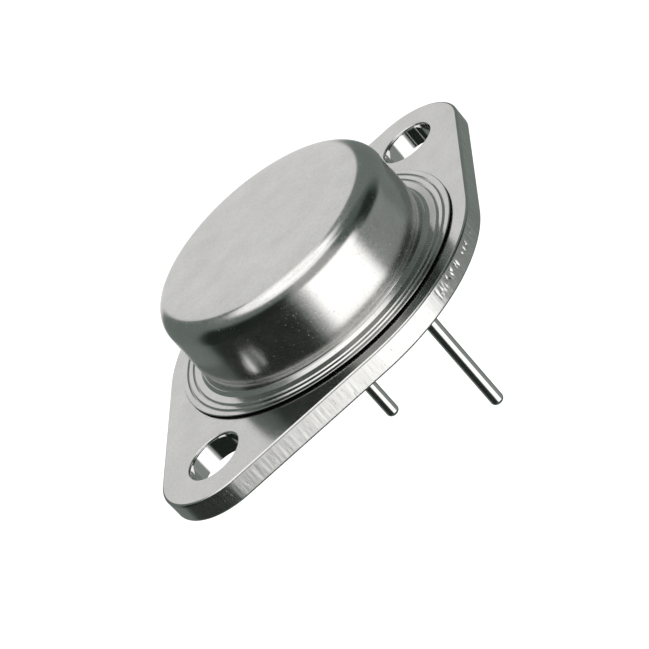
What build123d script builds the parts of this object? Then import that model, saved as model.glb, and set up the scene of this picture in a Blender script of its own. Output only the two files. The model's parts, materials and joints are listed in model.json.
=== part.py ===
from build123d import *
import math
import os

# Two-lead metal-can power transistor: a diamond flange with a welded drawn can.
# Millimetres. Z = 0 is the underside of the flange, which lies on the heatsink.
# +Z leaves through the can, the leads point along -Z.
# +X runs along the long axis to the screw hole the leads stand nearer to.

# flange
SCREW_SPACING = 30.15
SCREW_TO_FLANGE_END = 4.325
FLANGE_WIDTH = 26.1
FLANGE_THICKNESS = 1.7
FLANGE_END_RADIUS = 4.65
EDGE_ROLL = 0.2
SCREW_HOLE_DIAMETER = 4.1
SCREW_HOLE_ROLL = 0.15

# leads and their glass seals
LEAD_SPACING = 10.92
LEAD_TO_FAR_SCREW = 16.89
LEAD_DIAMETER = 1.05
LEAD_BELOW_FLANGE = 13.0
LEAD_ABOVE_FLANGE = 1.9
LEAD_TIP_RADIUS = 0.25
LEAD_SEALED_DIAMETER = 1.15
LEAD_TAPER_LENGTH = 0.62
LEAD_HEAD_DIAMETER = 1.8
LEAD_HEAD_HEIGHT = 0.3
SEAL_DIAMETER = 3.2
SEAL_RECESS = 0.12

# can
CAN_HEIGHT = 6.4
CAN_SHEET = 0.45
CAN_FOOT_DIAMETER = 19.44
CAN_WALL_DRAFT = 0.12
CAN_TOP_CORNER = 1.55
CAN_FOOT_CORNER = 0.12
CAN_INNER_BEND = 0.35

# coined ring and weld rim round the foot of the can
LEDGE_HEIGHT = 0.48
LEDGE_WIDTH = 0.36
SLOPE_WIDTH = 0.5
WELD_RIM_WIDTH = 1.12
WELD_RIM_THICKNESS = 0.22
WELD_RIM_CORNER = 0.06
COIN_GROOVE_OFFSETS = [0.12, 0.63]
COIN_GROOVE_WIDTH = 0.2
COIN_GROOVE_DEPTH = 0.05

# chip stack
CHIP_OFFSET = -1.4
SPREADER_LENGTH = 8.0
SPREADER_WIDTH = 7.0
SPREADER_HEIGHT = 1.2
SPREADER_CORNER = 0.8
BRAZE_THICKNESS = 0.08
SOLDER_THICKNESS = 0.08
SOLDER_MARGIN = 0.25
DIE_SIDE = 4.6
DIE_THICKNESS = 0.28

# bond wires
EMITTER_WIRE_DIAMETER = 0.38
BASE_WIRE_DIAMETER = 0.25
WIRE_LOOP_RISE = 1.0
FOOT_LENGTH = 0.7
EMITTER_LANDING_SPREAD = 0.62

# bond pads, as shares of the side of the chip
EMITTER_PAD_SPREAD = 0.33
EMITTER_PAD_SETBACK = 0.24
BASE_PAD_SETBACK = 0.34

# derived places
LEAD_X = LEAD_TO_FAR_SCREW - SCREW_SPACING / 2
LEAD_Y = LEAD_SPACING / 2
BRAZE_TOP = FLANGE_THICKNESS + BRAZE_THICKNESS
SPREADER_TOP = BRAZE_TOP + SPREADER_HEIGHT
SOLDER_TOP = SPREADER_TOP + SOLDER_THICKNESS
DIE_TOP = SOLDER_TOP + DIE_THICKNESS
LEAD_TOP = FLANGE_THICKNESS + LEAD_ABOVE_FLANGE


def ring(outer_radius, inner_radius, bottom, top):
    """Plain ring on the Z axis."""
    height = top - bottom
    outer = extrude(Circle(outer_radius), height)
    inner = extrude(Circle(inner_radius), height)
    return Pos(0, 0, bottom) * (outer - inner)


def make_header_base():
    """Flange blanked from thick sheet, with screw holes and two holes for the seals."""
    end_x = SCREW_SPACING / 2 + SCREW_TO_FLANGE_END - FLANGE_END_RADIUS
    with BuildPart() as base:
        with BuildSketch():
            with BuildLine():
                CenterArc((0, 0), FLANGE_WIDTH / 2, 0, 360)
                CenterArc((end_x, 0), FLANGE_END_RADIUS, 0, 360)
                CenterArc((-end_x, 0), FLANGE_END_RADIUS, 0, 360)
            make_hull()
        extrude(amount=FLANGE_THICKNESS)
        upper_rim = base.faces().sort_by(Axis.Z)[-1].outer_wire().edges()
        fillet(upper_rim, EDGE_ROLL)
        with Locations((SCREW_SPACING / 2, 0), (-SCREW_SPACING / 2, 0)):
            Cylinder(
                SCREW_HOLE_DIAMETER / 2,
                FLANGE_THICKNESS,
                align=(Align.CENTER, Align.CENTER, Align.MIN),
                mode=Mode.SUBTRACT,
            )
        hole_rims = [
            edge
            for wire in base.faces().sort_by(Axis.Z)[-1].inner_wires()
            for edge in wire.edges()
        ]
        fillet(hole_rims, SCREW_HOLE_ROLL)
        with Locations((LEAD_X, LEAD_Y), (LEAD_X, -LEAD_Y)):
            Cylinder(
                SEAL_DIAMETER / 2,
                FLANGE_THICKNESS,
                align=(Align.CENTER, Align.CENTER, Align.MIN),
                mode=Mode.SUBTRACT,
            )
    return base.part


def make_cap():
    """Drawn can with a coined rim that is welded down on the flange all the way round."""
    base = FLANGE_THICKNESS
    top = base + CAN_HEIGHT
    foot_radius = CAN_FOOT_DIAMETER / 2
    top_radius = foot_radius - CAN_WALL_DRAFT
    ledge_edge = foot_radius + LEDGE_WIDTH
    slope_end = ledge_edge + SLOPE_WIDTH
    rim_radius = slope_end + WELD_RIM_WIDTH
    ledge_top = base + LEDGE_HEIGHT
    rim_top = base + WELD_RIM_THICKNESS
    groove_points = []
    for offset in COIN_GROOVE_OFFSETS:
        middle = slope_end + offset
        groove_points.append((middle - COIN_GROOVE_WIDTH / 2, rim_top))
        groove_points.append((middle, rim_top - COIN_GROOVE_DEPTH))
        groove_points.append((middle + COIN_GROOVE_WIDTH / 2, rim_top))
    outline = [
        (0, top),
        (top_radius, top),
        (foot_radius, ledge_top),
        (ledge_edge, ledge_top),
        (slope_end, rim_top),
        *groove_points,
        (rim_radius, rim_top),
        (rim_radius, base),
        (foot_radius - CAN_SHEET, base),
        (top_radius - CAN_SHEET, top - CAN_SHEET),
        (0, top - CAN_SHEET),
    ]
    corner_radii = {
        (top_radius, top): CAN_TOP_CORNER,
        (foot_radius, ledge_top): CAN_FOOT_CORNER,
        (ledge_edge, ledge_top): CAN_FOOT_CORNER,
        (rim_radius, rim_top): WELD_RIM_CORNER,
        (foot_radius - CAN_SHEET, base): CAN_INNER_BEND,
        (top_radius - CAN_SHEET, top - CAN_SHEET): CAN_TOP_CORNER - CAN_SHEET,
    }
    with BuildPart() as can:
        with BuildSketch(Plane.XZ) as section:
            with BuildLine():
                Polyline(*outline, close=True)
            make_face()
            for place, radius in corner_radii.items():
                corner = section.vertices().sort_by_distance(place)[0]
                fillet(corner, radius)
        revolve(axis=Axis.Z)
    return can.part


def make_lead(side):
    """Round lead: rounded tip outside, a little thicker in its seal, nail head in the can."""
    free_radius = LEAD_DIAMETER / 2
    sealed_radius = LEAD_SEALED_DIAMETER / 2
    head_radius = LEAD_HEAD_DIAMETER / 2
    tip = -LEAD_BELOW_FLANGE
    head_bottom = LEAD_TOP - LEAD_HEAD_HEIGHT
    profile = [
        (0, tip),
        (free_radius, tip),
        (free_radius, SEAL_RECESS - LEAD_TAPER_LENGTH),
        (sealed_radius, SEAL_RECESS),
        (sealed_radius, head_bottom),
        (head_radius, head_bottom),
        (head_radius, LEAD_TOP),
        (0, LEAD_TOP),
    ]
    with BuildPart() as lead:
        with BuildSketch(Plane.XZ) as section:
            with BuildLine():
                Polyline(*profile, close=True)
            make_face()
            tip_corner = section.vertices().sort_by_distance((free_radius, tip))[0]
            fillet(tip_corner, LEAD_TIP_RADIUS)
        revolve(axis=Axis.Z)
    return Pos(LEAD_X, side * LEAD_Y, 0) * lead.part


def make_glass_seal(side):
    """Glass bead fused between lead and flange, drawn in a little at the underside."""
    bead = ring(SEAL_DIAMETER / 2, LEAD_SEALED_DIAMETER / 2, SEAL_RECESS, FLANGE_THICKNESS)
    return Pos(LEAD_X, side * LEAD_Y, 0) * bead


def make_plate(length, width, corner, bottom, height):
    """Flat rectangular layer of the chip stack."""
    sheet = RectangleRounded(length, width, corner)
    return Pos(CHIP_OFFSET, 0, bottom) * extrude(sheet, height)


def make_heat_spreader():
    """Copper block that carries the heat of the chip down to the flange."""
    return make_plate(SPREADER_LENGTH, SPREADER_WIDTH, SPREADER_CORNER, BRAZE_TOP, SPREADER_HEIGHT)


def make_heat_spreader_braze():
    """Braze layer between flange and copper block."""
    return make_plate(
        SPREADER_LENGTH, SPREADER_WIDTH, SPREADER_CORNER, FLANGE_THICKNESS, BRAZE_THICKNESS
    )


def make_die_attach_solder():
    """Solder layer under the chip, standing out a little all round."""
    side = DIE_SIDE + 2 * SOLDER_MARGIN
    return make_plate(side, side, SOLDER_MARGIN, SPREADER_TOP, SOLDER_THICKNESS)


def make_silicon_die():
    """Square silicon chip."""
    chip = extrude(Rectangle(DIE_SIDE, DIE_SIDE), DIE_THICKNESS)
    return Pos(CHIP_OFFSET, 0, SOLDER_TOP) * chip


def make_bond_wire(pad, landing, diameter):
    """Looped wire from a pad on the chip to a lead head, with a pressed foot at both ends."""
    radius = diameter / 2
    start = Vector(pad[0], pad[1], DIE_TOP + radius)
    end = Vector(landing[0], landing[1], LEAD_TOP + radius)
    crest = (start + end) * 0.5 + Vector(0, 0, WIRE_LOOP_RISE)
    heading = math.degrees(math.atan2(end.Y - start.Y, end.X - start.X))
    loop = ThreePointArc(start, crest, end)
    wire = sweep(Plane(start, z_dir=loop % 0) * Circle(radius), path=loop)
    for place in (start, end):
        foot = extrude(SlotOverall(FOOT_LENGTH, diameter), diameter)
        wire += Pos(place.X, place.Y, place.Z - radius) * Rot(0, 0, heading) * foot
    return wire


def make_emitter_bond_wire(side):
    """One of the two wires in parallel that carry the emitter current."""
    pad = (
        CHIP_OFFSET + side * EMITTER_PAD_SPREAD * DIE_SIDE / 2,
        EMITTER_PAD_SETBACK * DIE_SIDE,
    )
    landing = (LEAD_X + side * EMITTER_LANDING_SPREAD / 2, LEAD_Y)
    return make_bond_wire(pad, landing, EMITTER_WIRE_DIAMETER)


def make_base_bond_wire():
    """Single thinner wire for the base current."""
    pad = (CHIP_OFFSET, -BASE_PAD_SETBACK * DIE_SIDE)
    return make_bond_wire(pad, (LEAD_X, -LEAD_Y), BASE_WIRE_DIAMETER)


parts = {
    "header_base": make_header_base(),
    "cap": make_cap(),
    "base_lead": make_lead(-1),
    "emitter_lead": make_lead(1),
    "base_lead_glass_seal": make_glass_seal(-1),
    "emitter_lead_glass_seal": make_glass_seal(1),
    "heat_spreader": make_heat_spreader(),
    "heat_spreader_braze": make_heat_spreader_braze(),
    "die_attach_solder": make_die_attach_solder(),
    "silicon_die": make_silicon_die(),
    "emitter_bond_wire_left": make_emitter_bond_wire(-1),
    "emitter_bond_wire_right": make_emitter_bond_wire(1),
    "base_bond_wire": make_base_bond_wire(),
}

os.makedirs("parts", exist_ok=True)
for name, solid in parts.items():
    export_step(solid, f"parts/{name}.step")
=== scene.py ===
import json
import math

import bmesh
import bpy
from mathutils import Matrix, Vector, noise


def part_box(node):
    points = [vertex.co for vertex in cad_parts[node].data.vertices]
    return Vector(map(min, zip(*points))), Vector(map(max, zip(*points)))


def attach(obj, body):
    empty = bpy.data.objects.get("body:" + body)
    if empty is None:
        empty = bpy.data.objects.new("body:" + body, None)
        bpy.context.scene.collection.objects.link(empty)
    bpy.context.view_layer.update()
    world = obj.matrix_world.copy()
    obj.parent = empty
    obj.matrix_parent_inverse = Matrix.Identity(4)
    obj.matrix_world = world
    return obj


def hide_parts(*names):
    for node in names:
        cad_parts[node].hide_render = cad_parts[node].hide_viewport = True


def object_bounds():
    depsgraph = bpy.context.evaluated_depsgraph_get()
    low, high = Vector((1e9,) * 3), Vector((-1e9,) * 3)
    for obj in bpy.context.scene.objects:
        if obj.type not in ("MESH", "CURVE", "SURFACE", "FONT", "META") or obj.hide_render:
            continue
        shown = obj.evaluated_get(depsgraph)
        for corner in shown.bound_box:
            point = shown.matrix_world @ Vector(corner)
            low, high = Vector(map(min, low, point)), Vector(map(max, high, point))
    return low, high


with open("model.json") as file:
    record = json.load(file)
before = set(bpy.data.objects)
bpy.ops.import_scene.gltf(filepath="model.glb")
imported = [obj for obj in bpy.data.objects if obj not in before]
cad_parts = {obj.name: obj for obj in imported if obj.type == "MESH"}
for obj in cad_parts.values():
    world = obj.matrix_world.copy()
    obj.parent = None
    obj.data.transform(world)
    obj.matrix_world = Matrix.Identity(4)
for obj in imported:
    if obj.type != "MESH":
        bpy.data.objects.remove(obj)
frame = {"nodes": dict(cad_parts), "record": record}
CAD_LOW, CAD_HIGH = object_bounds()

MM = 0.001

# camera
CAMERA_LENS = 121.35
CAMERA_SENSOR = 36.0
CAMERA_DISTANCE = 154.6 * MM
CAMERA_AZIMUTH = -34.3
CAMERA_ELEVATION = 26.19
CAMERA_ROLL = -41.95
CAMERA_AIM_OFFSET = Vector((-1.04, 0.35, -1.45)) * MM

# flange: sizes that its box and the mounts don't give
FLANGE_END_RADIUS = 4.65 * MM
FLANGE_EDGE_ROLL = 0.2 * MM
SCREW_HOLE_ROLL = 0.15 * MM
FLANGE_LOWER_ROLL = 0.22 * MM
UPPER_ROLL_SEGMENTS = 6
ROLL_SEGMENTS = 5
HOLE_SIDES = 128
EDGE_COLUMN = 0.075 * MM
EDGE_ROWS = 16
SIDE_NORMAL = 0.6
HOLE_REACH = 1.1

# sheared edge: grain in millimetres along x, y and z, then depths and the shares that make them up
SCORE_GRAIN = (0.3, 0.3, 8)
FINE_SCORE_GRAIN = (0.11, 0.11, 3)
TORN_GRAIN = (0.16, 0.16, 0.2)
SHEAR_MARK_DEPTH = 0.012 * MM
SHEAR_MEAN, SHEAR_SCORES, SHEAR_FINE = 0.4, 0.4, 0.35
FRACTURE_SHARE = 0.36
FRACTURE_WANDER = 0.5
FRACTURE_WANDER_LENGTH = 1.3 * MM
FRACTURE_DEPTH = 0.006 * MM
FRACTURE_MEAN, FRACTURE_TEARS = 0.6, 0.8
CHIPPED_LENGTH = (-1.8 * MM, 4.4 * MM)
CHIPPED_HEIGHT = (0.7 * MM, 1.45 * MM)
CHIP_DEPTH = 0.14 * MM
CHIP_MEAN, CHIP_FINE = 0.05, 0.6
CHIP_FADE = 4

# can: sizes that its box doesn't give
CAN_SHEET = 0.45 * MM
CAN_FOOT_RADIUS = 9.72 * MM
CAN_WALL_DRAFT = 0.12 * MM
CAN_TOP_CORNER = 1.55 * MM
CAN_CROWN_WIDTH = 2.4 * MM
CAN_CROWN_DROP = 0.11 * MM
CAN_CROWN_RADIUS = 16 * MM
CAN_FOOT_CORNER = 0.12 * MM
CAN_INNER_BEND = 0.35 * MM
LEDGE_HEIGHT = 0.48 * MM
LEDGE_WIDTH = 0.36 * MM
LEDGE_BEVEL_HEIGHT = 0.2 * MM
LEDGE_BEVEL_WIDTH = 0.24 * MM
LEDGE_BEVEL_ROUND = 0.05 * MM
SLOPE_WIDTH = 0.5 * MM
WELD_RIM_THICKNESS = 0.22 * MM
WELD_RIM_CORNER = 0.06 * MM
WELD_RIM_CORNER_DEPTH = 1.5 * WELD_RIM_CORNER
WELD_RIM_UNDERCUT = 0.22 * MM
COIN_GROOVES = (0.12 * MM, 0.63 * MM)
COIN_GROOVE_WIDTH = 0.22 * MM
COIN_GROOVE_DEPTH = 0.08 * MM
COIN_LIP_RADIUS = 0.08 * MM

# leads and glass beads
LEAD_TIP_RADIUS = 0.38 * MM
SEALED_LEAD_RADIUS = 0.575 * MM
LEAD_TAPER_LENGTH = 0.62 * MM
LEAD_HEAD_HEIGHT = 0.3 * MM
LEAD_HEAD_CORNER = 0.05 * MM
GLASS_CREEP = 0.07 * MM
GLASS_CREEP_WIDTH = 0.3 * MM
GLASS_CREEP_RADIUS = 2 * GLASS_CREEP_WIDTH

# meshes: how finely curves are divided, the merging distance and the shading
ARC_STEPS = 10
CAN_SPIN_STEPS = 256
LEAD_SPIN_STEPS = 64
TINY = 0.001 * MM
SMOOTH_UP_TO = math.radians(35)
NORMAL_WEIGHT = 90

# metal: feature sizes in millimetres, then their shares of the shade, the roughness and the relief
BLOTCH_SIZE = 2.2
SPECKLE_SIZE = 0.17
WAVE_SIZE = 1.1
PIT_SIZE = 0.13
PIT_START, PIT_FULL = 0.66, 0.78
FINE_DETAIL = 3.0
SHADE_MEAN, SHADE_BLOTCHES, SHADE_SPECKLE, SHADE_PITS = 0.6, 0.9, 0.9, 0.5
ROUGH_BLOTCHES, ROUGH_SPECKLE, ROUGH_PITS = 0.08, 0.10, 0.12
RELIEF_WAVES = 2.0

# studio: each panel has a span of azimuth, a span of elevation, a softness and a brightness
WHITE = (1, 1, 1, 1)
FLOOR_PAINT = (0.8, 0.8, 0.8, 1)
FLOOR_SIZE = 3.0
FLOOR_DROP = 115 * MM
FLOOR_GLOW = 0.8
RING_RADIUS = 130 * MM
RING_TOP_ELEVATION = 76
RING_SIDES = 96
RING_BRIGHTNESS = 0.2
CARD_BELOW_BRIGHTNESS = 0.11
DARK_PANEL_TINT = (0.72, 1.0, 0.84, 1)
TINT_FADE = 2.5
WORLD_LIGHT = 0.5
PANELS = {
    "grey_panel_right": ((74, 130), (-90, 90), 8, 0.22),
    "pale_panel_behind": ((129, 168), (-90, 90), 3, 0.84),
    "black_panel_left": ((-140, -48), (-90, 33), 7, 0.018),
    "grey_panel_front": ((-50, 6), (-90, 90), 7, 0.5),
    "dark_panel_front": ((6, 74), (-90, 90), 8, 0.13),
    "lower_panel_front": ((12, 74), (-90, -2), 8, 0.3),
    "black_panel_right": ((30, 66), (-8, 32), 8, 0.025),
    "white_panel_front": ((-40, 17), (-90, 14), 6, 1.7),
    "pale_band_above": ((-400, 400), (67, 90), 5, 1.35),
    "pale_band_front": ((-400, 32), (56, 90), 5, 1.35),
    "pale_band_behind": ((126, 400), (58, 90), 5, 1.3),
}
OVERHEAD_HEIGHT = 400 * MM
OVERHEAD_DIAMETER = 430 * MM
OVERHEAD_SHIFT = 65 * MM
OVERHEAD_SHIFT_AZIMUTH = -60
OVERHEAD_RADIANCE = 0.45


class Wire:
    """One output of a shader node, so that shader maths reads as plain arithmetic."""

    def __init__(self, tree, socket):
        self.tree = tree
        self.socket = socket

    def maths(self, operation, *others):
        return node(self.tree, "ShaderNodeMath", {"operation": operation}, self, *others)

    def __add__(self, other):
        return self.maths("ADD", other)

    __radd__ = __add__

    def __mul__(self, other):
        return self.maths("MULTIPLY", other)

    __rmul__ = __mul__

    def __sub__(self, other):
        return self.maths("SUBTRACT", other)

    def __rsub__(self, other):
        return self * -1.0 + other

    def __truediv__(self, other):
        return self.maths("DIVIDE", other)

    def clamped(self):
        return node(self.tree, "ShaderNodeClamp", {}, self)

    def smooth(self, start, end):
        """0 below start, 1 above end, with an eased step between."""
        settings = {"interpolation_type": "SMOOTHSTEP"}
        return node(self.tree, "ShaderNodeMapRange", settings, self, start, end, 0.0, 1.0)


def node(tree, kind, settings, *values, output=0, **named):
    """Adds a node: its settings first, then its inputs in order or by name. None skips one."""
    made = tree.nodes.new(kind)
    for key, value in settings.items():
        setattr(made, key, value)
    pairs = [(made.inputs[i], v) for i, v in enumerate(values)]
    pairs += [(made.inputs[k], v) for k, v in named.items()]
    for socket, value in pairs:
        if isinstance(value, Wire):
            tree.links.new(value.socket, socket)
        elif value is not None:
            socket.default_value = value
    return Wire(tree, made.outputs[output])


def to_surface(tree, shader, output="ShaderNodeOutputMaterial"):
    """Joins a shader to the output of its material or world."""
    tree.links.new(shader.socket, tree.nodes.new(output).inputs["Surface"])


def deselect():
    """Leaves nothing selected, in object mode."""
    if bpy.context.object and bpy.context.object.mode != "OBJECT":
        bpy.ops.object.mode_set(mode="OBJECT")
    bpy.ops.object.select_all(action="DESELECT")


def select_edges(piece, test):
    """In edit mode, selects just the edges whose two ends pass the test."""
    mesh = bmesh.from_edit_mesh(piece.data)
    bpy.context.tool_settings.mesh_select_mode = (False, True, False)
    for part in (mesh.verts, mesh.edges, mesh.faces):
        for element in part:
            element.select = False
    for edge in mesh.edges:
        if all(test(end.co) for end in edge.verts):
            edge.select_set(True)
    bmesh.update_edit_mesh(piece.data)


def apply(piece, kind, **settings):
    """Adds a modifier and applies it."""
    modifier = piece.modifiers.new(kind.lower(), kind)
    for key, value in settings.items():
        setattr(modifier, key, value)
    bpy.context.view_layer.objects.active = piece
    bpy.ops.object.modifier_apply(modifier=modifier.name)


def smooth(piece):
    """Smooth shading up to an angle, with flat faces kept flat."""
    deselect()
    piece.select_set(True)
    bpy.context.view_layer.objects.active = piece
    bpy.ops.object.shade_smooth_by_angle(angle=SMOOTH_UP_TO)
    apply(piece, "WEIGHTED_NORMAL", keep_sharp=True, weight=NORMAL_WEIGHT)


def mount_sizes(name):
    """Sizes of one of the record's mounts, in millimetres."""
    return {mount["name"]: mount["dims"] for mount in frame["record"]["mounts"]}[name]


def stand_for(piece, cad_node, *materials):
    """Gives the piece its materials, hangs it on the root body and hides the CAD node it stands
    for.
    """
    for material in materials:
        piece.data.materials.append(material)
    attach(piece, "root")
    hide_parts(cad_node)


def rounded_outline(corners):
    """Points of a closed outline. A corner is (x, z, radius), and an arc rounds it."""
    points = []
    neighbours = zip(corners[-1:] + corners[:-1], corners, corners[1:] + corners[:1])
    for before, (x, z, radius), after in neighbours:
        place = Vector((x, z))
        if not radius:
            points.append(place)
            continue
        inward = (Vector(before[:2]) - place).normalized()
        onward = (Vector(after[:2]) - place).normalized()
        half = inward.angle(onward) / 2
        centre = place + (inward + onward).normalized() * radius / math.sin(half)
        first = place + inward * radius / math.tan(half) - centre
        last = place + onward * radius / math.tan(half) - centre
        start = math.atan2(first.y, first.x)
        turn = (math.atan2(last.y, last.x) - start + math.pi) % (2 * math.pi) - math.pi
        for step in range(ARC_STEPS + 1):
            angle = start + turn * step / ARC_STEPS
            points.append(centre + Vector((math.cos(angle), math.sin(angle))) * radius)
    return points


def lathe(name, corners, steps, axis=(0, 0)):
    """Draws a closed outline point by point and spins it about an upright axis."""
    points = rounded_outline(corners)
    points.append(points[0])
    deselect()
    bpy.ops.mesh.primitive_plane_add(size=MM)
    piece = bpy.context.object
    piece.name = name
    bpy.ops.object.mode_set(mode="EDIT")
    bpy.context.tool_settings.mesh_select_mode = (True, False, False)
    bpy.ops.mesh.select_all(action="SELECT")
    bpy.ops.mesh.merge(type="CENTER")
    bpy.ops.transform.translate(value=(axis[0] + points[0].x, axis[1], points[0].y))
    for here, there in zip(points, points[1:]):
        step = (there.x - here.x, 0, there.y - here.y)
        bpy.ops.mesh.extrude_region_move(TRANSFORM_OT_translate={"value": step})
    bpy.ops.mesh.select_all(action="SELECT")
    bpy.ops.mesh.spin(steps=steps, angle=2 * math.pi, center=(*axis, 0), axis=(0, 0, 1))
    bpy.ops.mesh.select_all(action="SELECT")
    bpy.ops.mesh.remove_doubles(threshold=TINY)
    bpy.ops.mesh.normals_make_consistent(inside=False)
    bpy.ops.object.mode_set(mode="OBJECT")
    return piece


def flange_outline(half_length, half_width):
    """Points round the diamond: two end arcs and two side arcs, joined by tangent lines."""
    end_x = half_length - FLANGE_END_RADIUS
    turn = math.acos((half_width - FLANGE_END_RADIUS) / end_x)
    arcs = [
        (end_x, FLANGE_END_RADIUS, -turn, turn),
        (0, half_width, turn, math.pi - turn),
        (-end_x, FLANGE_END_RADIUS, math.pi - turn, math.pi + turn),
        (0, half_width, math.pi + turn, 2 * math.pi - turn),
    ]
    points = []
    line = end_x * math.sin(turn)
    for centre, radius, start, end in arcs:
        steps = math.ceil(radius * (end - start) / EDGE_COLUMN)
        for step in range(steps + 1):
            angle = start + (end - start) * step / steps
            points.append(Vector((centre + radius * math.cos(angle), radius * math.sin(angle), 0)))
        along = Vector((-math.sin(end), math.cos(end), 0))
        steps = math.ceil(line / EDGE_COLUMN)
        points += [points[-1] + along * line * step / steps for step in range(1, steps)]
    return points


def grained(place, lengths):
    """Noise at a place, with features of the given lengths along x, y and z."""
    return noise.noise(Vector([at / length for at, length in zip(place, lengths)]) / MM)


def shear_marks(place, height):
    """How far the blanked edge stands back: upright scores, a torn lower zone and chips."""
    score = grained(place, SCORE_GRAIN)
    fine = grained(place, FINE_SCORE_GRAIN)
    torn = grained(place, TORN_GRAIN)
    wander = noise.noise(Vector((place.x, place.y, 0)) / FRACTURE_WANDER_LENGTH)
    depth = SHEAR_MARK_DEPTH * (SHEAR_MEAN + SHEAR_SCORES * score + SHEAR_FINE * fine)
    if place.z / height < FRACTURE_SHARE * (1 + FRACTURE_WANDER * wander):
        depth += FRACTURE_DEPTH * (FRACTURE_MEAN + FRACTURE_TEARS * torn)
    along = (place.x - CHIPPED_LENGTH[0]) / (CHIPPED_LENGTH[1] - CHIPPED_LENGTH[0])
    up = (place.z - CHIPPED_HEIGHT[0]) / (CHIPPED_HEIGHT[1] - CHIPPED_HEIGHT[0])
    if place.y < 0 and 0 < along < 1 and 0 < up < 1:
        fade = min(CHIP_FADE * up, CHIP_FADE * (1 - up), 1)
        depth += CHIP_DEPTH * max(torn + CHIP_FINE * fine + CHIP_MEAN, 0) * fade
    return max(depth, 0)


def make_flange(plate, sheared, burnished):
    """Flange blanked from thick sheet: rolled edges, punched holes and a scored side."""
    low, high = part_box("header_base")
    thickness = high.z - low.z
    outline = flange_outline(high.x, high.y)
    screws = mount_sizes("mounting_holes")
    screw_x, screw_radius = screws["spacing_x_mm"] * MM / 2, screws["hole_r_mm"] * MM
    screw_holes = [(screw_x, 0, screw_radius), (-screw_x, 0, screw_radius)]
    seal_holes = []
    for bead in ("base_lead_glass_seal", "emitter_lead_glass_seal"):
        bead_low, bead_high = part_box(bead)
        middle = (bead_low + bead_high) / 2
        seal_holes.append((middle.x, middle.y, (bead_high.x - bead_low.x) / 2))

    deselect()
    bpy.ops.mesh.primitive_circle_add(vertices=len(outline), radius=high.x, fill_type="NGON")
    flange = bpy.context.object
    flange.name = "flange_with_sheared_edge"
    for vertex, place in zip(flange.data.vertices, outline):
        vertex.co = place
    bpy.ops.object.mode_set(mode="EDIT")
    bpy.ops.mesh.select_all(action="SELECT")
    bpy.ops.mesh.extrude_region_move(TRANSFORM_OT_translate={"value": (0, 0, thickness)})
    bpy.ops.mesh.select_all(action="SELECT")
    bpy.ops.mesh.normals_make_consistent(inside=False)
    select_edges(flange, lambda p: p.z > thickness - TINY)
    bpy.ops.mesh.bevel(offset=FLANGE_EDGE_ROLL, segments=UPPER_ROLL_SEGMENTS, affect="EDGES")
    select_edges(flange, lambda p: p.z < TINY)
    bpy.ops.mesh.bevel(offset=FLANGE_LOWER_ROLL, segments=ROLL_SEGMENTS, affect="EDGES")
    bpy.ops.object.mode_set(mode="OBJECT")

    for x, y, radius in screw_holes + seal_holes:
        deselect()
        bpy.ops.mesh.primitive_cylinder_add(
            vertices=HOLE_SIDES, radius=radius, depth=4 * thickness, location=(x, y, 0)
        )
        punch = bpy.context.object
        apply(flange, "BOOLEAN", operation="DIFFERENCE", solver="EXACT", object=punch)
        bpy.data.objects.remove(punch)

    deselect()
    flange.select_set(True)
    bpy.context.view_layer.objects.active = flange
    bpy.ops.object.mode_set(mode="EDIT")

    def on_screw_rim(p):
        gaps = [abs(math.hypot(p.x - x, p.y - y) - radius) for x, y, radius in screw_holes]
        return p.z > thickness - TINY and min(gaps) < TINY

    select_edges(flange, on_screw_rim)
    bpy.ops.mesh.bevel(offset=SCREW_HOLE_ROLL, segments=ROLL_SEGMENTS, affect="EDGES")
    side_height = thickness - FLANGE_EDGE_ROLL - FLANGE_LOWER_ROLL
    for row in range(1, EDGE_ROWS):
        bpy.ops.mesh.select_all(action="SELECT")
        level = FLANGE_LOWER_ROLL + side_height * row / EDGE_ROWS
        bpy.ops.mesh.bisect(plane_co=(0, 0, level), plane_no=(0, 0, 1))
    bpy.ops.object.mode_set(mode="OBJECT")

    def in_a_hole(p):
        holes = screw_holes + seal_holes
        return any(math.hypot(p.x - x, p.y - y) < radius * HOLE_REACH for x, y, radius in holes)

    outward = [vertex.normal.copy() for vertex in flange.data.vertices]
    for vertex, normal in zip(flange.data.vertices, outward):
        place = vertex.co.copy()
        on_side = FLANGE_LOWER_ROLL + TINY < place.z < thickness - FLANGE_EDGE_ROLL - TINY
        if on_side and not in_a_hole(place):
            vertex.co = place - normal * shear_marks(place, thickness)
    for face in flange.data.polygons:
        if abs(face.normal.z) < SIDE_NORMAL:
            face.material_index = 2 if in_a_hole(face.center) else 1
    smooth(flange)
    stand_for(flange, "header_base", plate, sheared, burnished)


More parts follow.
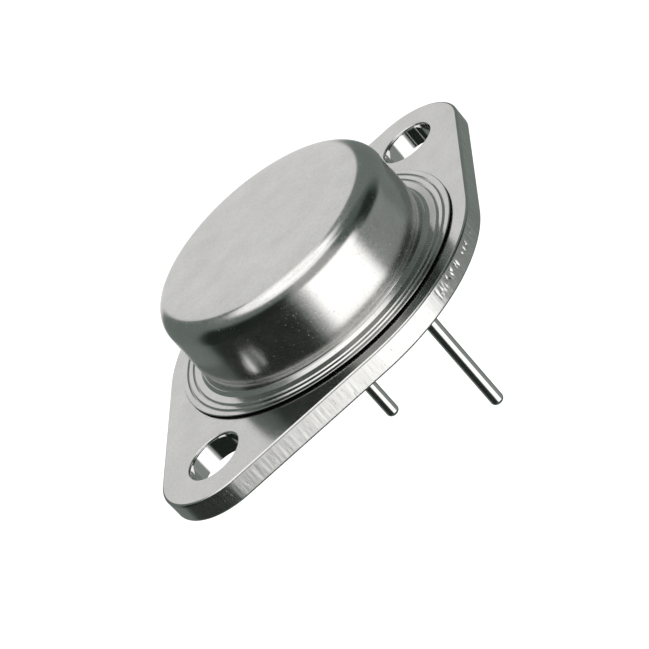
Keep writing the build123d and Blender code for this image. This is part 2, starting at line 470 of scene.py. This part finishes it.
def make_can(plate, crevice_shade):
    """Drawn can with its ledge, its coined ring and a welded rim undercut at its very edge, whose
    undercut carries near-black painted shade.
    """
    low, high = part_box("cap")
    base, top, rim_radius = low.z, high.z, high.x
    top_radius = CAN_FOOT_RADIUS - CAN_WALL_DRAFT
    ledge_edge = CAN_FOOT_RADIUS + LEDGE_WIDTH
    slope_end = ledge_edge + SLOPE_WIDTH
    rim_top = base + WELD_RIM_THICKNESS
    grooves = []
    for offset in COIN_GROOVES:
        middle = slope_end + offset
        grooves += [
            (middle - COIN_GROOVE_WIDTH / 2, rim_top, COIN_LIP_RADIUS),
            (middle, rim_top - COIN_GROOVE_DEPTH, 0),
            (middle + COIN_GROOVE_WIDTH / 2, rim_top, COIN_LIP_RADIUS),
        ]
    corners = [
        (0, top, 0),
        (top_radius - CAN_CROWN_WIDTH, top, CAN_CROWN_RADIUS),
        (top_radius, top - CAN_CROWN_DROP, CAN_TOP_CORNER),
        (CAN_FOOT_RADIUS, base + LEDGE_HEIGHT, CAN_FOOT_CORNER),
        (ledge_edge - LEDGE_BEVEL_WIDTH, base + LEDGE_HEIGHT, LEDGE_BEVEL_ROUND),
        (ledge_edge, base + LEDGE_HEIGHT - LEDGE_BEVEL_HEIGHT, LEDGE_BEVEL_ROUND),
        (slope_end, rim_top, 0),
        *grooves,
        (rim_radius, rim_top, WELD_RIM_CORNER),
        (rim_radius, rim_top - WELD_RIM_CORNER_DEPTH, 0),
        (rim_radius - WELD_RIM_UNDERCUT, base, 0),
        (CAN_FOOT_RADIUS - CAN_SHEET, base, CAN_INNER_BEND),
        (top_radius - CAN_SHEET, top - CAN_SHEET, CAN_TOP_CORNER - CAN_SHEET),
        (0, top - CAN_SHEET, 0),
    ]
    can = lathe("drawn_can", corners, CAN_SPIN_STEPS)
    # faces of the rim's outer side and undercut take slot 1, the near-black painted shade of that
    # crevice
    for face in can.data.polygons:
        out = math.hypot(face.center.x, face.center.y)
        low_down = face.center.z < rim_top - WELD_RIM_CORNER
        face.material_index = int(out > rim_radius - WELD_RIM_UNDERCUT and low_down)
    smooth(can)
    stand_for(can, "cap", plate, crevice_shade)


def make_lead(cad_node, bead_node, name, material):
    """Round lead with a tumbled tip, thicker in its bead, and a nail head inside the can."""
    low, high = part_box(cad_node)
    bead_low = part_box(bead_node)[0]
    middle = (low + high) / 2
    free_radius = mount_sizes(cad_node)["r_mm"] * MM
    head_radius = (high.x - low.x) / 2
    corners = [
        (0, low.z, 0),
        (free_radius, low.z, LEAD_TIP_RADIUS),
        (free_radius, bead_low.z - LEAD_TAPER_LENGTH, 0),
        (SEALED_LEAD_RADIUS, bead_low.z, 0),
        (SEALED_LEAD_RADIUS, high.z - LEAD_HEAD_HEIGHT, 0),
        (head_radius, high.z - LEAD_HEAD_HEIGHT, LEAD_HEAD_CORNER),
        (head_radius, high.z, LEAD_HEAD_CORNER),
        (0, high.z, 0),
    ]
    lead = lathe(name, corners, LEAD_SPIN_STEPS, (middle.x, middle.y))
    smooth(lead)
    stand_for(lead, cad_node, material)


def make_bead(cad_node, name, material):
    """Glass bead whose face creeps up a little on the lead and on the wall of its hole."""
    low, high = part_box(cad_node)
    middle = (low + high) / 2
    outer = (high.x - low.x) / 2
    corners = [
        (SEALED_LEAD_RADIUS, low.z - GLASS_CREEP, 0),
        (SEALED_LEAD_RADIUS + GLASS_CREEP_WIDTH, low.z, GLASS_CREEP_RADIUS),
        (outer - GLASS_CREEP_WIDTH, low.z, GLASS_CREEP_RADIUS),
        (outer, low.z - GLASS_CREEP, 0),
        (outer, high.z, 0),
        (SEALED_LEAD_RADIUS, high.z, 0),
    ]
    bead = lathe(name, corners, LEAD_SPIN_STEPS, (middle.x, middle.y))
    smooth(bead)
    stand_for(bead, cad_node, material)


def make_camera():
    """Camera at its own azimuth, elevation and roll round a point in the flange."""
    low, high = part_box("header_base")
    aim = (low + high) / 2 + CAMERA_AIM_OFFSET
    azimuth, elevation = math.radians(CAMERA_AZIMUTH), math.radians(CAMERA_ELEVATION)
    back = Vector((
        math.sin(azimuth) * math.cos(elevation),
        -math.cos(azimuth) * math.cos(elevation),
        math.sin(elevation),
    ))
    data = bpy.data.cameras.new("camera")
    data.lens = CAMERA_LENS
    data.sensor_width = CAMERA_SENSOR
    data.clip_start = 1 * MM
    camera = bpy.data.objects.new("camera", data)
    bpy.context.scene.collection.objects.link(camera)
    turn = (-back).to_track_quat("-Z", "Y").to_matrix()
    turn = turn @ Matrix.Rotation(math.radians(CAMERA_ROLL), 3, "Z")
    camera.matrix_world = Matrix.Translation(aim + back * CAMERA_DISTANCE) @ turn.to_4x4()
    bpy.context.scene.camera = camera


def new_material(name):
    """Empty node material and its tree."""
    material = bpy.data.materials.new(name)
    material.use_nodes = True
    material.node_tree.nodes.clear()
    return material, material.node_tree


def texture_place(tree, stretch=(1, 1, 1)):
    """Object coordinates in millimetres, stretched along an axis where asked."""
    coordinates = node(tree, "ShaderNodeTexCoord", {}, output="Object")
    scale = Vector(stretch) / MM
    return node(tree, "ShaderNodeVectorMath", {"operation": "MULTIPLY"}, coordinates, scale)


def grain(tree, place, size, detail=2.0):
    """Noise about a middle of zero, with features of about the given size in millimetres."""
    made = node(tree, "ShaderNodeTexNoise", {}, Vector=place, Scale=1 / size, Detail=detail)
    return made - 0.5


def mixed(tree, factor, first, second):
    """Colour between two colours, whose sockets come after those for numbers and vectors."""
    skipped = [None] * 5
    settings = {"data_type": "RGBA"}
    return node(tree, "ShaderNodeMix", settings, factor, *skipped, first, second, output=2)


def metal(name, light, dark, roughness, relief, pits, blotch=BLOTCH_SIZE, stretch=(1, 1, 1)):
    """Metal with soft blotches, uneven gloss, and relief and pits as deep as given in mm."""
    material, tree = new_material(name)
    place = texture_place(tree, stretch)
    blotches = grain(tree, place, blotch, FINE_DETAIL)
    speckle = grain(tree, place, SPECKLE_SIZE, FINE_DETAIL)
    waves = grain(tree, place, WAVE_SIZE)
    pitted = (grain(tree, place, PIT_SIZE) + 0.5).smooth(PIT_START, PIT_FULL)
    mottled = blotches * SHADE_BLOTCHES + speckle * SHADE_SPECKLE + SHADE_MEAN
    shade = (mottled - pitted * SHADE_PITS).clamped()
    colour = mixed(tree, shade, (*dark, 1), (*light, 1))
    uneven = blotches * ROUGH_BLOTCHES + speckle * ROUGH_SPECKLE + pitted * ROUGH_PITS
    height = (speckle + waves * RELIEF_WAVES) * relief - pitted * pits
    bump = node(tree, "ShaderNodeBump", {}, Strength=1.0, Distance=MM, Height=height)
    body = node(
        tree, "ShaderNodeBsdfPrincipled", {},
        **{"Base Color": colour, "Metallic": 1.0, "Roughness": uneven + roughness, "Normal": bump},
    )
    to_surface(tree, body)
    return material


def glass(name):
    """Dark sealing glass with a few bubbles under its skin."""
    clear_green, cloudy_green = (0.010, 0.018, 0.014, 1), (0.03, 0.05, 0.04, 1)
    haze_size, haze_contrast, haze_roughness, polish = 0.5, 2.0, 0.1, 0.1
    bubbles_per_mm, bubble_core, bubble_edge, bubble_height = 4.0, 0.05, 0.2, 0.004 * MM
    material, tree = new_material(name)
    place = texture_place(tree)
    bubbles = node(tree, "ShaderNodeTexVoronoi", {}, Vector=place, Scale=bubbles_per_mm)
    haze = grain(tree, place, haze_size, FINE_DETAIL)
    cloudiness = (haze * haze_contrast + 0.5).clamped()
    colour = mixed(tree, cloudiness, clear_green, cloudy_green)
    height = bubbles.smooth(bubble_core, bubble_edge)
    roughness = haze * haze_roughness + polish
    bump = node(tree, "ShaderNodeBump", {}, Strength=1.0, Distance=bubble_height, Height=height)
    body = node(
        tree, "ShaderNodeBsdfPrincipled", {},
        **{"Base Color": colour, "Roughness": roughness, "Normal": bump},
    )
    to_surface(tree, body)
    return material


def silicon(name):
    """Polished chip with the narrow fingers of its metal layer."""
    bare_chip, metal_layer = (0.10, 0.11, 0.14, 1), (0.78, 0.78, 0.79, 1)
    finger_scale, finger_edge_start, finger_edge_end = 1.2, 0.45, 0.55
    chip_roughness, layer_roughness = 0.12, 0.2
    material, tree = new_material(name)
    place = texture_place(tree)
    bands = node(
        tree, "ShaderNodeTexWave", {"bands_direction": "X"},
        Vector=place, Scale=finger_scale, output="Fac",
    )
    fingers = bands.smooth(finger_edge_start, finger_edge_end)
    colour = mixed(tree, fingers, bare_chip, metal_layer)
    roughness = fingers * layer_roughness + chip_roughness
    body = node(
        tree, "ShaderNodeBsdfPrincipled", {},
        **{"Base Color": colour, "Metallic": 1.0, "Roughness": roughness},
    )
    to_surface(tree, body)
    return material


def stage_reflector(piece):
    """Makes a piece part of the studio, seen only where it is reflected."""
    piece.visible_camera = False
    piece.visible_diffuse = False
    piece.visible_shadow = False
    piece.visible_transmission = False


def make_card_below(floor_height):
    """Dark card just above the floor, which the lower edges and the underside reflect."""
    deselect()
    bpy.ops.mesh.primitive_circle_add(
        vertices=RING_SIDES, radius=RING_RADIUS, fill_type="NGON",
        location=(0, 0, floor_height + MM),
    )
    card = bpy.context.object
    card.name = "dark_card_below"
    material, tree = new_material("dark_card_below")
    to_surface(tree, node(tree, "ShaderNodeEmission", {}, DARK_PANEL_TINT, CARD_BELOW_BRIGHTNESS))
    card.data.materials.append(material)
    stage_reflector(card)


def make_reflector_ring(floor_height, centre):
    """Ring of black, grey and white panels that the metal reflects."""
    top = centre.z + RING_RADIUS * math.tan(math.radians(RING_TOP_ELEVATION))
    deselect()
    bpy.ops.mesh.primitive_cylinder_add(
        vertices=RING_SIDES, radius=RING_RADIUS, depth=top - floor_height,
        end_fill_type="NOTHING",
        location=(centre.x, centre.y, (top + floor_height) / 2),
    )
    ring = bpy.context.object
    ring.name = "reflector_ring"
    material, tree = new_material("reflector_panels")
    place = node(tree, "ShaderNodeNewGeometry", {}, output="Position")
    x, y, z = (node(tree, "ShaderNodeSeparateXYZ", {}, place, output=axis) for axis in "XYZ")
    azimuth = x.maths("ARCTAN2", y * -1.0) * math.degrees(1)
    elevation = ((z - centre.z) / RING_RADIUS).maths("ARCTANGENT") * math.degrees(1)
    glow = RING_BRIGHTNESS
    for (start, end), (low, high), soft, brightness in PANELS.values():
        sides = azimuth.smooth(start - soft, start + soft) - azimuth.smooth(end - soft, end + soft)
        ends = elevation.smooth(low - soft, low + soft) - elevation.smooth(high - soft, high + soft)
        inside = sides * ends
        glow = glow * (1.0 - inside) + inside * brightness
    tint = mixed(tree, (glow * TINT_FADE).clamped(), DARK_PANEL_TINT, WHITE)
    shade = node(tree, "ShaderNodeVectorMath", {"operation": "MULTIPLY"}, tint, glow)
    to_surface(tree, node(tree, "ShaderNodeEmission", {}, shade, 1.0))
    ring.data.materials.append(material)
    stage_reflector(ring)


def make_floor(height):
    """Pale floor with a glow that leaves it nearly white. It is clear from below."""
    deselect()
    bpy.ops.mesh.primitive_plane_add(size=FLOOR_SIZE, location=(0, 0, height))
    floor = bpy.context.object
    floor.name = "floor"
    material, tree = new_material("floor")
    paint = node(tree, "ShaderNodeBsdfDiffuse", {}, FLOOR_PAINT)
    glow = node(tree, "ShaderNodeEmission", {}, WHITE, FLOOR_GLOW)
    lit = node(tree, "ShaderNodeAddShader", {}, paint, glow)
    clear = node(tree, "ShaderNodeBsdfTransparent", {})
    behind = node(tree, "ShaderNodeNewGeometry", {}, output="Backfacing")
    to_surface(tree, node(tree, "ShaderNodeMixShader", {}, behind, lit, clear))
    floor.data.materials.append(material)


def make_world():
    """White to the eye and in reflections, softer as light."""
    world = bpy.data.worlds.new("studio")
    bpy.context.scene.world = world
    world.use_nodes = True
    tree = world.node_tree
    tree.nodes.clear()
    kinds = ("Is Camera Ray", "Is Glossy Ray", "Is Transmission Ray")
    direct, mirrored, through = (
        node(tree, "ShaderNodeLightPath", {}, output=kind) for kind in kinds
    )
    seen = (direct + mirrored + through).clamped()
    strength = seen * (1 - WORLD_LIGHT) + WORLD_LIGHT
    glow = node(tree, "ShaderNodeBackground", {}, WHITE, strength)
    to_surface(tree, glow, "ShaderNodeOutputWorld")


def make_overhead_light():
    """Round softbox above the part, shifted a little to one side."""
    data = bpy.data.lights.new("overhead_softbox", "AREA")
    data.shape = "DISK"
    data.size = OVERHEAD_DIAMETER
    area = math.pi * (OVERHEAD_DIAMETER / 2) ** 2
    data.energy = OVERHEAD_RADIANCE * math.pi * area
    lamp = bpy.data.objects.new("overhead_softbox", data)
    bpy.context.scene.collection.objects.link(lamp)
    turn = math.radians(OVERHEAD_SHIFT_AZIMUTH)
    shift = Vector((math.sin(turn), -math.cos(turn), 0)) * OVERHEAD_SHIFT
    lamp.location = shift + Vector((0, 0, OVERHEAD_HEIGHT))


def finish_sealed_nodes():
    """Materials of the pieces sealed inside the can."""
    copper = metal(
        "rolled_copper", light=(0.86, 0.47, 0.33), dark=(0.74, 0.36, 0.24),
        roughness=0.34, relief=0.002, pits=0.002,
    )
    braze = metal(
        "flowed_braze", light=(0.78, 0.71, 0.61), dark=(0.66, 0.58, 0.48),
        roughness=0.3, relief=0.006, pits=0.003,
    )
    solder = metal(
        "dull_solder", light=(0.64, 0.64, 0.65), dark=(0.48, 0.48, 0.5),
        roughness=0.42, relief=0.006, pits=0.004,
    )
    wire = metal(
        "drawn_aluminium", light=(0.88, 0.88, 0.89), dark=(0.76, 0.76, 0.78),
        roughness=0.28, relief=0.001, pits=0.001,
    )
    chosen = {
        "heat_spreader": copper,
        "heat_spreader_braze": braze,
        "die_attach_solder": solder,
        "silicon_die": silicon("polished_silicon"),
        "emitter_bond_wire_left": wire,
        "emitter_bond_wire_right": wire,
        "base_bond_wire": wire,
    }
    for name, material in chosen.items():
        frame["nodes"][name].material_slots[0].material = material


make_camera()
make_world()
can_low, can_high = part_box("cap")
floor_height = CAD_LOW.z - FLOOR_DROP
make_floor(floor_height)
make_overhead_light()
make_reflector_ring(floor_height, (can_low + can_high) / 2)
make_card_below(floor_height)

plating = {"light": (0.715, 0.71, 0.695), "dark": (0.52, 0.515, 0.50)}
bare_metal = {"light": (0.75, 0.745, 0.735), "dark": (0.60, 0.595, 0.58)}
# near-black tones of the painted shade in the crevice under the welded rim
scale = {"light": (0.05, 0.05, 0.048), "dark": (0.012, 0.012, 0.012)}
plated_flange = metal("plated_flange", **plating, roughness=0.17, relief=0.0004, pits=0.007)
plated_can = metal("plated_can", **plating, roughness=0.18, relief=0.0004, pits=0.005)
sheared_edge = metal(
    "sheared_edge", **plating, roughness=0.24, relief=0.0015, pits=0.006,
    blotch=0.7, stretch=(1, 1, 0.2),
)
burnished_hole = metal("burnished_hole", **bare_metal, roughness=0.07, relief=0.0004, pits=0.001)
# near-black painted shade for the crevice under the rim's undercut
painted_crevice_shade = metal("painted_crevice_shade", **scale, roughness=0.55, relief=0.004, pits=0.004)
bright_lead = metal(
    "bright_drawn_lead", **bare_metal, roughness=0.14, relief=0.0003, pits=0.001,
    blotch=1.0, stretch=(1, 1, 0.08),
)
seal_glass = glass("sealing_glass")

make_flange(plated_flange, sheared_edge, burnished_hole)
make_can(plated_can, painted_crevice_shade)
for side in ("base", "emitter"):
    bead_node = f"{side}_lead_glass_seal"
    make_lead(f"{side}_lead", bead_node, f"{side}_lead_wire", bright_lead)
    make_bead(bead_node, f"{side}_glass_bead", seal_glass)
finish_sealed_nodes()

bpy.context.scene.view_settings.view_transform = "Standard"
